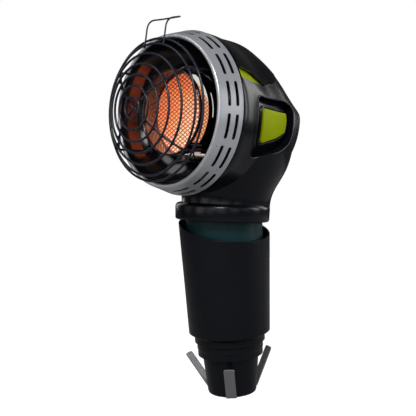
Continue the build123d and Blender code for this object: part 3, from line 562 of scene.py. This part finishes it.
def thicken(piece, sheet):
    """Give an open skin the thickness of its sheet, inward."""
    solid = piece.modifiers.new("sheet", "SOLIDIFY")
    solid.thickness = sheet
    solid.offset = -1.0
    bpy.context.view_layer.objects.active = piece
    piece.select_set(True)
    bpy.ops.object.modifier_apply(modifier=solid.name)
    piece.select_set(False)
    clean(piece.data)


# ------------------------------------------------------------------ wire guard
def guard_depth(radius):
    """Distance ahead of the lip plane of a ring on the guard's dome."""
    return GUARD_FRONT - GUARD_SPHERE + math.sqrt(GUARD_SPHERE ** 2 - radius ** 2)


def make_rings():
    """Wire rings of the guard, lying on a dome."""
    rings = Mould()
    for radius in GUARD_RADII:
        rings.tube([HEAD @ point for point in circle(radius, 120, guard_depth(radius))], GUARD_WIRE, True, 12)
    rings.piece("guard_ring_wires", "wire_black", "heater", ["guard_rings"])


def make_ribs(welds):
    """Two bent wires behind the rings, crossing at the middle, with a weld at each meeting."""
    ribs = Mould()
    behind = 2 * GUARD_WIRE + 0.05
    stations = [(RIB_RADIUS, -RIB_BACK)]
    for share in (1, 0.68, 0.34):
        radius = RIB_RADIUS * share
        stations.append((radius, guard_depth(radius) - behind))
    centre = (0.0, 0.0, guard_depth(0.0) - behind)
    bend = [0, 6, 12, 12, 6, 12, 12, 6, 0]
    for side in (1, -1):
        upper = [(side * polar(radius, RIB_ANGLE)[0], polar(radius, RIB_ANGLE)[1], depth)
                 for radius, depth in stations]
        path = upper + [centre] + [(x, -up, depth) for x, up, depth in reversed(upper)]
        ribs.tube([HEAD @ point for point in eased(path, bend, False, 8)], GUARD_WIRE, False, 12)
        for level in (1, -1):
            for radius in GUARD_RADII[:5]:
                x, up = polar(radius, RIB_ANGLE)
                spot = (side * x, level * up, guard_depth(radius) - GUARD_WIRE)
                welds.blob(spot, GUARD_WIRE * 1.25, GUARD_WIRE * 1.3, HEAD)
            x, up = polar(RIB_RADIUS, RIB_ANGLE)
            for radius, depth in ((3.4, -29.9), (2.2, -28.6)):
                welds.blob((side * x, level * up, depth), radius, 1.6, HEAD)
    ribs.piece("guard_rib_wires", "wire_black", "heater", ["guard_ribs"])


def make_hook(welds):
    """Bent wire on top, behind the last ring but one and in front of the outermost."""
    hook = Mould()
    low_up, high_up = [math.sqrt(radius ** 2 - HOOK_HALF ** 2) for radius in GUARD_RADII[-2:]]
    low_depth, high_depth = [guard_depth(radius) for radius in GUARD_RADII[-2:]]
    reach = GUARD_WIRE + HOOK_WIRE + 0.1
    apart = math.hypot(high_up - low_up, low_depth - high_depth)
    lean = math.atan2(low_depth - high_depth, high_up - low_up) - math.asin(2 * reach / apart)
    passing = high_depth + reach / math.cos(lean)
    leg = [(up, passing - (up - high_up) * math.tan(lean)) for up in (low_up - 2.0, HOOK_HEIGHT)]
    leg.append(HOOK_BACK)
    path = [(-HOOK_HALF, up, depth) for up, depth in leg]
    path += [(HOOK_HALF, up, depth) for up, depth in reversed(leg)]
    hook.tube([HEAD @ point for point in eased(path, [0, 11, 5, 5, 11, 0], False, 10)], HOOK_WIRE, False, 12)
    hook.piece("hook_wire", "wire_black", "heater", ["guard_hook"])
    for x in (-HOOK_HALF, HOOK_HALF):
        for up, depth, face in ((low_up, low_depth, -1), (high_up, high_depth, 1)):
            welds.blob((x, up, depth + face * GUARD_WIRE), HOOK_WIRE * 1.4, HOOK_WIRE * 1.2, HEAD)


def make_guard():
    """Guard in front of the burner, with the welds that join its wires."""
    welds = Mould()
    make_rings()
    make_ribs(welds)
    make_hook(welds)
    welds.piece("guard_welds", "wire_black", "heater")


# ------------------------------------------------------------------ bezel
def slot_edge(share, side, half_length, half_width):
    """Point on a round-ended slot facing a point of its cell's border; share runs -1 to 1 along a side."""
    straight = half_length - half_width
    if side in ("top", "bottom"):
        sign = 1 if side == "top" else -1
        if abs(share) <= 0.8:
            return share / 0.8 * straight, sign * half_width
        end = 1 if share > 0 else -1
        turn = math.radians(90 - (abs(share) - 0.8) / 0.2 * 45)
        return end * (straight + half_width * math.cos(turn)), sign * half_width * math.sin(turn)
    end = 1 if side == "right" else -1
    turn = math.radians(45 * share)
    return end * (straight + half_width * math.cos(turn)), half_width * math.sin(turn)


def cell_border(half_cell, half_height, across=20, down=4):
    """Border of one slot's cell, in order, as (x, depth, share, side)."""
    border = []
    for step in range(across):
        share = -1 + 2 * step / across
        border.append((share * half_cell, half_height, share, "top"))
    for step in range(down):
        share = 1 - 2 * step / down
        border.append((half_cell, share * half_height, share, "right"))
    for step in range(across):
        share = 1 - 2 * step / across
        border.append((share * half_cell, -half_height, share, "bottom"))
    for step in range(down):
        share = -1 + 2 * step / down
        border.append((-half_cell, share * half_height, share, "left"))
    return border


def cone_radius(depth):
    """Outer radius of the bezel at a depth behind the lip plane."""
    return LIP_OUTER + (BEZEL_REAR - LIP_OUTER) * depth / BEZEL_DEPTH


def make_bezel():
    """Conical bezel with two rows of slots, a rounded lip and a rounded rear edge."""
    shape = Mould()
    across = 20
    ring = SLOTS * across
    start = math.pi / 2
    half_turn = math.pi / SLOTS

    def on_cone(turn, depth):
        radius = cone_radius(depth)
        return HEAD @ Vector((radius * math.cos(turn), radius * math.sin(turn), -depth))

    half_height = (SLOT_DEPTHS[1] - SLOT_DEPTHS[0]) / 2
    for index in range(SLOTS):
        middle = start + (index + 0.5) * 2 * half_turn
        for depth in SLOT_DEPTHS:
            radius = cone_radius(depth)
            border = cell_border(half_turn * radius, half_height, across)
            rows = []
            for mixed in (0.0, 0.12, 0.4, 1.0):
                row = []
                for x, y, share, side in border:
                    slot_x, slot_y = slot_edge(share, side, SLOT_LENGTH / 2, SLOT_WIDTH / 2)
                    turn = middle + (slot_x + (x - slot_x) * mixed) / radius
                    row.append(on_cone(turn, depth - (slot_y + (y - slot_y) * mixed)))
                rows.append(row)
            shape.skin(rows)

    def band(profile):
        turns = [start + 2 * math.pi * step / ring for step in range(ring)]
        rows = []
        for radius, height in profile:
            rows.append([HEAD @ Vector((radius * math.cos(turn), radius * math.sin(turn), height))
                         for turn in turns])
        shape.skin(rows)

    first = SLOT_DEPTHS[0] - half_height
    last = SLOT_DEPTHS[1] + half_height
    lip = eased([(LIP_INNER, -6.0), (LIP_INNER, 0.2), (LIP_OUTER - 0.1, 0.2), (cone_radius(4.2), -4.2),
                 (cone_radius(first), -first)], [0, 2.1, 2.2, 0, 0], False, 7)
    band([(point.x, point.y) for point in lip])
    rear = [(cone_radius(last), -last), (cone_radius(BEZEL_DEPTH - 1.2), -BEZEL_DEPTH + 1.2),
            (BEZEL_REAR, -BEZEL_DEPTH + 0.5), (BEZEL_REAR - 0.1, -BEZEL_DEPTH + 0.1),
            (BEZEL_REAR - 0.6, -BEZEL_DEPTH)]
    band(rear)
    shape.piece("bezel_shell", "silver_paint", "heater", ["bezel"], sheet=BEZEL_SHEET)


# ------------------------------------------------------------------ collar
def make_collar():
    """Smooth skin over the collar, in two halves that leave the parting line open at front and back."""
    radius = COLLAR_RADIUS + SKIN_GAP
    outline = [(radius - COLLAR_ROUND, -SKIN_GAP / 2), (radius - COLLAR_ROUND * 0.3, COLLAR_ROUND * 0.3),
               (radius, COLLAR_ROUND)]
    for step in range(13):
        turn = math.pi / 2 * step / 12
        outline.append((radius + COLLAR_FLARE - COLLAR_SHOULDER * (1 - math.cos(turn)),
                        COLLAR_HEIGHT + SKIN_GAP - COLLAR_SHOULDER * (1 - math.sin(turn))))
    line = 0.35 / radius
    steps = 96
    skin = Mould()
    for side in (1, -1):
        rows = []
        for step in range(steps + 1):
            turn = side * (-math.pi / 2 + line + (math.pi - 2 * line) * step / steps)
            along, across = math.sin(turn), math.cos(turn) * side
            rows.append([HOUSING @ Vector((reach * across, reach * along * side, height))
                         for reach, height in outline])
        skin.skin(rows, ring=False)
    skin.piece("collar_skin", "black_housing", "heater")


# ------------------------------------------------------------------ side pockets
def traced(node, outline, grow, side):
    """Closed line that follows an outline, grown from its middle, over the outer surface of a node."""
    middle = sum((Vector(point) for point in outline), Vector((0.0, 0.0))) / len(outline)
    corners = []
    for point in outline:
        away = Vector(point) - middle
        away += away.normalized() * grow
        corners.append((0.0, middle.x + away.x, middle.y + away.y))
    curve = eased(corners, 7, True, 6)
    line = []
    inward = HOUSING.to_3x3() @ Vector((-side, 0.0, 0.0))
    for index, point in enumerate(curve):
        ahead = curve[(index + 1) % len(curve)]
        pieces = max(1, int((ahead - point).length / 3.0))
        for step in range(pieces):
            spot = point.lerp(ahead, step / pieces)
            start = HOUSING @ Vector((side * 130.0, spot.y, spot.z))
            hit, place, normal, face = node.ray_cast(start * MM, inward)
            if hit:
                line.append(place / MM)
    return line


def make_pockets():
    """Beads round the edge of each side pocket and round its inlay."""
    for side, name in ((1, "right"), (-1, "left")):
        half = frame["nodes"]["housing_" + name]
        beads = Mould()
        beads.tube(traced(half, POCKET_OUTLINE, 1.6, side), EDGE_BEAD, True, 10)
        beads.tube(traced(half, INLAY_OUTLINE, 4.2, side), FRAME_BEAD, True, 10)
        beads.piece("pocket_beads_" + name, "black_housing", "heater")


# ------------------------------------------------------------------ controls
def make_knob_grip():
    """Finger ribs round the knob, a pointer line on its rim, and five raised marks on the panel."""
    panel = HOUSING @ Matrix.Translation((0.0, PANEL_REAR, KNOB_HEIGHT))
    panel = panel @ Matrix.Rotation(-math.pi / 2, 4, "X")
    ribs = Mould()
    for spot in circle(1.0, GRIP_RIBS):
        path = [spot * (GRIP_REACH + 0.5) + Vector((0.0, 0.0, GRIP_LOW)),
                spot * GRIP_REACH + Vector((0.0, 0.0, GRIP_HIGH))]
        ribs.tube([panel @ point for point in path], GRIP_RADIUS, False, 8)
    ribs.piece("knob_ribs", "black_control", "control_knob")
    pointer = Mould()
    path = [panel @ Vector((0.0, reach, height)) for reach, height in POINTER_ENDS]
    pointer.tube(path, POINTER_RADIUS, False, 8)
    pointer.piece("knob_pointer", "white_ceramic", "control_knob")
    marks = Mould()
    for turn in MARK_TURNS:
        x, up = polar(1.0, turn)
        ends = (MARK_RADIUS, MARK_RADIUS + MARK_LENGTH)
        path = [panel @ Vector((x * reach, -up * reach, 0.1)) for reach in ends]
        marks.tube(path, MARK_WIRE, False, 8)
    marks.piece("dial_marks", "white_ceramic", "heater")


# ------------------------------------------------------------------ reflector and burner
def arc_through(first, middle, last, count):
    """Points on the circle through three points."""
    (ax, ay), (bx, by), (cx, cy) = first, middle, last
    area = 2 * (ax * (by - cy) + bx * (cy - ay) + cx * (ay - by))
    squares = (ax * ax + ay * ay, bx * bx + by * by, cx * cx + cy * cy)
    x = (squares[0] * (by - cy) + squares[1] * (cy - ay) + squares[2] * (ay - by)) / area
    y = (squares[0] * (cx - bx) + squares[1] * (ax - cx) + squares[2] * (bx - ax)) / area
    radius = math.hypot(ax - x, ay - y)
    begin = math.atan2(ay - y, ax - x)
    end = math.atan2(cy - y, cx - x)
    return [(x + radius * math.cos(begin + (end - begin) * step / count),
             y + radius * math.sin(begin + (end - begin) * step / count)) for step in range(count + 1)]


def make_bowl():
    """Spun reflector bowl, between the lip and the burner."""
    shape = Mould()
    outer = arc_through((87.35, -2.0), (79.0, -26.0), (53.4, -42.0), 28)
    inner = arc_through((87.35 - BOWL_SHEET, -2.0), (78.44, -25.44), (53.4, -41.2), 28)
    shape.spin(outer + inner[::-1], HEAD, 160)
    shape.piece("bowl_spun", "bowl_metal", "heater", ["reflector_bowl"])


def make_burner():
    """Drawn cup of the burner with its mounting flange, and the bead that closes its rim."""
    cup = Mould()
    wall = 1.0
    hole = 8.1
    inner = BURNER_RADIUS - wall
    flange = BURNER_RADIUS + 6.0
    flange_front = -42.3
    flange_back = flange_front - wall
    outline = [(inner, -BURNER_BACK + wall), (inner, -BURNER_FRONT), (BURNER_RADIUS, -BURNER_FRONT),
               (BURNER_RADIUS, flange_front), (flange, flange_front), (flange, flange_back),
               (BURNER_RADIUS, flange_back), (BURNER_RADIUS, -BURNER_BACK), (hole, -BURNER_BACK),
               (hole, -BURNER_BACK + wall)]
    bend = [0, 0.2, 0.2, 0, 0.3, 0.3, 0, 1, 0, 0]
    cup.spin([(point.x, point.y) for point in eased(outline, bend)], HEAD, 128)
    cup.piece("burner_cup", "polished_steel", "heater", ["burner_housing"])
    rim = Mould()
    path = circle(BURNER_RADIUS - 0.5, 128, -BURNER_FRONT + 1.25)
    rim.tube([HEAD @ point for point in path], 1.2, True, 14)
    rim.piece("burner_rim_bead", "polished_steel", "heater", ["burner_rim"])


def make_mesh():
    """Two families of wires woven over and under each other, held by a flat ring."""
    shape = Mould()
    reach = TILE_RADIUS - 1.6
    apart = MESH_PITCH / math.sin(math.radians(2 * MESH_ANGLE))
    middle = -TILE_FRONT + 2 * MESH_WIRE + 0.15
    count = int(reach / MESH_PITCH)
    skew = MESH_PITCH / math.tan(math.radians(2 * MESH_ANGLE))
    for layer in (1, -1):
        turn = Matrix.Rotation(layer * math.radians(MESH_ANGLE), 4, "Z")
        for index in range(-count, count + 1):
            offset = index * MESH_PITCH
            half = math.sqrt(max(1.0, (reach - 0.5) ** 2 - offset ** 2))
            steps = int(2 * half / apart * 4)
            path = []
            for step in range(steps + 1):
                along = -half + 2 * half * step / steps
                phase = math.pi * ((along - layer * offset * skew / MESH_PITCH) / apart + index)
                height = middle + layer * MESH_WIRE * math.cos(phase)
                path.append(HEAD @ turn @ Vector((along, offset, height)))
            shape.tube(path, MESH_WIRE, False, 6)
    shape.spin([(TILE_RADIUS, -TILE_FRONT), (TILE_RADIUS, -TILE_FRONT + 0.7), (reach, -TILE_FRONT + 0.7),
                (reach, -TILE_FRONT)], HEAD, 96)
    shape.piece("burner_woven_mesh", "mesh_steel", "heater", ["burner_mesh"])


# ------------------------------------------------------------------ scene
def dress_nodes():
    """Give every node of the frame the finish of its slot."""
    for entry in frame["record"]["subparts"]:
        node = frame["nodes"][entry["node"]]
        slot = "white_ceramic" if entry["node"] == "igniter_electrode" else entry["material_slot"]
        node.data.materials.clear()
        node.data.materials.append(FINISHES[slot])


def link(thing):
    bpy.context.scene.collection.objects.link(thing)


def make_camera():
    """Camera in front, on the +X side, and above the middle of the object."""
    right = Vector((0.69713, 0.71512, -0.05117))
    up = Vector((-0.05103, 0.12068, 0.99138))
    ahead = Vector((-0.71513, 0.68851, -0.12062))
    picture_pixels = 416.0
    focal_pixels = 840.0
    data = bpy.data.cameras.new("camera")
    data.sensor_width = 36.0
    data.lens = data.sensor_width * focal_pixels / picture_pixels
    camera = bpy.data.objects.new("camera", data)
    turn = Matrix((right, up, -ahead)).transposed().to_4x4()
    camera.matrix_world = Matrix.Translation((0.76011, -0.75939, 0.37451)) @ turn
    link(camera)
    bpy.context.scene.camera = camera


def make_softbox(name, turn, rise, power):
    """Softbox aimed at the middle of the object, turned from +X and raised; high ones are smaller."""
    middle = Vector((0.0, -0.03, 0.27))
    distance = 1.5
    turn, rise = math.radians(turn), math.radians(rise)
    away = Vector((math.cos(turn) * math.cos(rise), math.sin(turn) * math.cos(rise), math.sin(rise)))
    place = middle + away * distance
    data = bpy.data.lights.new(name, "AREA")
    data.shape = "RECTANGLE"
    data.size, data.size_y = (0.4, 0.4) if rise > 0.5 else (0.5, 0.9)
    data.energy = power
    light = bpy.data.objects.new(name, data)
    aim = (middle - place).to_track_quat("-Z", "Y").to_matrix().to_4x4()
    light.matrix_world = Matrix.Translation(place) @ aim
    link(light)


def make_lights():
    """Ring of softboxes: name, turn and rise in degrees, and power."""
    ring = {"far_left": (170, 12, 2.5), "left": (225, 12, 1.0), "front_left": (260, 12, 3.4),
            "near_left": (285, 12, 2.0), "near": (315, 12, 2.0), "near_right": (345, 12, 2.0),
            "right": (15, 12, 1.6), "side_right": (45, 12, 9.0), "far_right": (80, 12, 5.0),
            "key_left": (240, 48, 4.5), "low_spark": (302, 20, 3.0), "key": (312, 44, 20.0)}
    for name, (turn, rise, power) in ring.items():
        make_softbox(name, turn, rise, power)


def make_world():
    """White background to the eye, which lights the object only faintly."""
    world = bpy.data.worlds.new("studio")
    world.use_nodes = True
    tree = world.node_tree
    background = tree.nodes["Background"]
    background.inputs["Color"].default_value = WHITE
    rays = tree.nodes.new("ShaderNodeLightPath")
    level = tree.nodes.new("ShaderNodeMapRange")
    tree.links.new(rays.outputs["Is Camera Ray"], level.inputs["Value"])
    level.inputs["To Min"].default_value = 0.045
    level.inputs["To Max"].default_value = 1.0
    tree.links.new(level.outputs[0], background.inputs["Strength"])
    bpy.context.scene.world = world


def make_floor():
    """Round pale floor, white to the eye and faint to every other ray."""
    radius = 0.95
    sides = 96
    rim = []
    for step in range(sides):
        turn = 2 * math.pi * step / sides
        rim.append((radius * math.cos(turn), radius * math.sin(turn), 0.0))
    mesh = bpy.data.meshes.new("floor")
    mesh.from_pydata(rim, [], [tuple(range(sides))])
    finish = Finish("pale_floor")
    tone = finish.mix(finish.noise(3.0), (0.22, 0.22, 0.22, 1.0), (0.25, 0.25, 0.25, 1.0))
    seen = finish.node("ShaderNodeLightPath")
    glow = finish.mix(seen, (0.065, 0.065, 0.065, 1.0), WHITE)
    mesh.materials.append(finish.close(tone, 0.9, specular_ior_level=0.1, emission_color=glow,
                                       emission_strength=1.0))
    plane = bpy.data.objects.new("floor", mesh)
    link(plane)


def make_studio():
    """Background, lights and floor."""
    make_world()
    make_lights()
    make_floor()
    bpy.context.scene.view_settings.view_transform = "Standard"


make_camera()
make_studio()
dress_nodes()
make_guard()
make_bezel()
make_collar()
make_pockets()
make_knob_grip()
make_bowl()
make_burner()
make_mesh()
